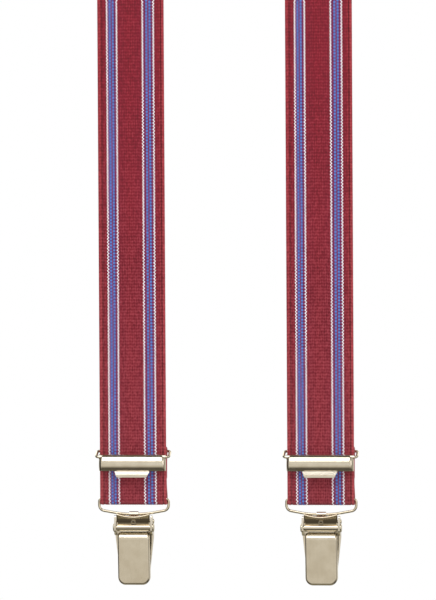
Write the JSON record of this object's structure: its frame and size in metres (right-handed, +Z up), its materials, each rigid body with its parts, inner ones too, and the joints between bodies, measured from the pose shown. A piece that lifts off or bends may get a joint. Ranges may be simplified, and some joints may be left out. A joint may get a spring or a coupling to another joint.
{
  "type": "clip-on suspenders",
  "caption": "X-back clip-on suspenders: striped elastic webbing with cam-lever clips, sliding hinged adjusters and a leather cross patch, draped over a rail.",
  "frame": {"origin": "on the axis of the 50 mm rail that the straps hang over, midway between the straps", "axes": "+Z up, the front straps and their clips face -Y, +X to the right as seen from the front"},
  "size_m": [0.1384, 0.0618, 0.7564],
  "materials": {
    "webbing": "woven elastic, red with blue and white stripes",
    "leather": "smooth dark brown leather",
    "nickel": "warm nickel plate, satin to bright",
    "spring_steel": "plain spring steel",
    "grip": "ribbed black vinyl"
  },
  "bodies": {
    "straps": {"strap_left": "webbing", "strap_right": "webbing", "patch_inner": "leather", "patch_outer": "leather", "left_return_run": "webbing", "right_return_run": "webbing"},
    "front_left_loop": {"front_left_clip_loop": "nickel"},
    "front_left_clip": {"front_left_clip_back_plate": "nickel", "front_left_clip_lever_pin": "nickel", "front_left_clip_jaw_pin": "nickel", "front_left_clip_spring": "spring_steel", "front_left_clip_grip_pad": "grip"},
    "front_left_lever": {"front_left_clip_lever": "nickel"},
    "front_left_jaw": {"front_left_clip_front_jaw": "nickel"},
    "front_right_loop": {"front_right_clip_loop": "nickel"},
    "front_right_clip": {"front_right_clip_back_plate": "nickel", "front_right_clip_lever_pin": "nickel", "front_right_clip_jaw_pin": "nickel", "front_right_clip_spring": "spring_steel", "front_right_clip_grip_pad": "grip"},
    "front_right_lever": {"front_right_clip_lever": "nickel"},
    "front_right_jaw": {"front_right_clip_front_jaw": "nickel"},
    "back_left_loop": {"back_left_clip_loop": "nickel"},
    "back_left_clip": {"back_left_clip_back_plate": "nickel", "back_left_clip_lever_pin": "nickel", "back_left_clip_jaw_pin": "nickel", "back_left_clip_spring": "spring_steel", "back_left_clip_grip_pad": "grip"},
    "back_left_lever": {"back_left_clip_lever": "nickel"},
    "back_left_jaw": {"back_left_clip_front_jaw": "nickel"},
    "back_right_loop": {"back_right_clip_loop": "nickel"},
    "back_right_clip": {"back_right_clip_back_plate": "nickel", "back_right_clip_lever_pin": "nickel", "back_right_clip_jaw_pin": "nickel", "back_right_clip_spring": "spring_steel", "back_right_clip_grip_pad": "grip"},
    "back_right_lever": {"back_right_clip_lever": "nickel"},
    "back_right_jaw": {"back_right_clip_front_jaw": "nickel"},
    "left_adjuster": {"left_adjuster_frame": "nickel", "left_sewn_end": "webbing"},
    "left_cover": {"left_adjuster_cover": "nickel"},
    "right_adjuster": {"right_adjuster_frame": "nickel", "right_sewn_end": "webbing"},
    "right_cover": {"right_adjuster_cover": "nickel"}
  },
  "joints": [
    {"name": "front_left_swing", "type": "hinge", "parent": "straps", "child": "front_left_loop", "pos_m": [-0.04935, -0.0234, -0.6849], "axis": [-1, 0, 0], "range_deg": [-30, 60]},
    {"name": "front_left_tilt", "type": "hinge", "parent": "front_left_loop", "child": "front_left_clip", "pos_m": [-0.04935, -0.0234, -0.6928], "axis": [-1, 0, 0], "range_deg": [-30, 30]},
    {"name": "front_left_lever_flip", "type": "hinge", "parent": "front_left_clip", "child": "front_left_lever", "pos_m": [-0.04935, -0.0248, -0.6998], "axis": [1, 0, 0], "range_deg": [0, 85]},
    {"name": "front_left_jaw_open", "type": "hinge", "parent": "front_left_clip", "child": "front_left_jaw", "pos_m": [-0.04935, -0.0219, -0.6966], "axis": [-1, 0, 0], "range_deg": [0, 8.5]},
    {"name": "front_right_swing", "type": "hinge", "parent": "straps", "child": "front_right_loop", "pos_m": [0.04935, -0.0234, -0.6849], "axis": [-1, 0, 0], "range_deg": [-30, 60]},
    {"name": "front_right_tilt", "type": "hinge", "parent": "front_right_loop", "child": "front_right_clip", "pos_m": [0.04935, -0.0234, -0.6928], "axis": [-1, 0, 0], "range_deg": [-30, 30]},
    {"name": "front_right_lever_flip", "type": "hinge", "parent": "front_right_clip", "child": "front_right_lever", "pos_m": [0.04935, -0.0248, -0.6998], "axis": [1, 0, 0], "range_deg": [0, 85]},
    {"name": "front_right_jaw_open", "type": "hinge", "parent": "front_right_clip", "child": "front_right_jaw", "pos_m": [0.04935, -0.0219, -0.6966], "axis": [-1, 0, 0], "range_deg": [0, 8.5]},
    {"name": "back_left_swing", "type": "hinge", "parent": "straps", "child": "back_left_loop", "pos_m": [-0.05, 0.0234, -0.3249], "axis": [1, 0, 0], "range_deg": [-30, 60]},
    {"name": "back_left_tilt", "type": "hinge", "parent": "back_left_loop", "child": "back_left_clip", "pos_m": [-0.05, 0.0234, -0.3328], "axis": [1, 0, 0], "range_deg": [-30, 30]},
    {"name": "back_left_lever_flip", "type": "hinge", "parent": "back_left_clip", "child": "back_left_lever", "pos_m": [-0.05, 0.0248, -0.3398], "axis": [-1, 0, 0], "range_deg": [0, 85]},
    {"name": "back_left_jaw_open", "type": "hinge", "parent": "back_left_clip", "child": "back_left_jaw", "pos_m": [-0.05, 0.0219, -0.3366], "axis": [1, 0, 0], "range_deg": [0, 8.5]},
    {"name": "back_right_swing", "type": "hinge", "parent": "straps", "child": "back_right_loop", "pos_m": [0.05, 0.0234, -0.3249], "axis": [1, 0, 0], "range_deg": [-30, 60]},
    {"name": "back_right_tilt", "type": "hinge", "parent": "back_right_loop", "child": "back_right_clip", "pos_m": [0.05, 0.0234, -0.3328], "axis": [1, 0, 0], "range_deg": [-30, 30]},
    {"name": "back_right_lever_flip", "type": "hinge", "parent": "back_right_clip", "child": "back_right_lever", "pos_m": [0.05, 0.0248, -0.3398], "axis": [-1, 0, 0], "range_deg": [0, 85]},
    {"name": "back_right_jaw_open", "type": "hinge", "parent": "back_right_clip", "child": "back_right_jaw", "pos_m": [0.05, 0.0219, -0.3366], "axis": [1, 0, 0], "range_deg": [0, 8.5]},
    {"name": "left_adjuster_slide", "type": "slide", "parent": "straps", "child": "left_adjuster", "axis": [0, 0, 1], "range_m": [-0.004, 0.25], "deforming": ["left_return_run"]},
    {"name": "left_cover_lift", "type": "hinge", "parent": "left_adjuster", "child": "left_cover", "pos_m": [-0.04935, -0.0284, -0.66266], "axis": [-1, 0, 0], "range_deg": [0, 110]},
    {"name": "right_adjuster_slide", "type": "slide", "parent": "straps", "child": "right_adjuster", "axis": [0, 0, 1], "range_m": [-0.004, 0.25], "deforming": ["right_return_run"]},
    {"name": "right_cover_lift", "type": "hinge", "parent": "right_adjuster", "child": "right_cover", "pos_m": [0.04935, -0.0284, -0.66266], "axis": [-1, 0, 0], "range_deg": [0, 110]}
  ],
  "couplings": [
    {"joint": "front_left_jaw_open", "follows": "front_left_lever_flip", "ratio": 0.1},
    {"joint": "front_right_jaw_open", "follows": "front_right_lever_flip", "ratio": 0.1},
    {"joint": "back_left_jaw_open", "follows": "back_left_lever_flip", "ratio": 0.1},
    {"joint": "back_right_jaw_open", "follows": "back_right_lever_flip", "ratio": 0.1}
  ]
}
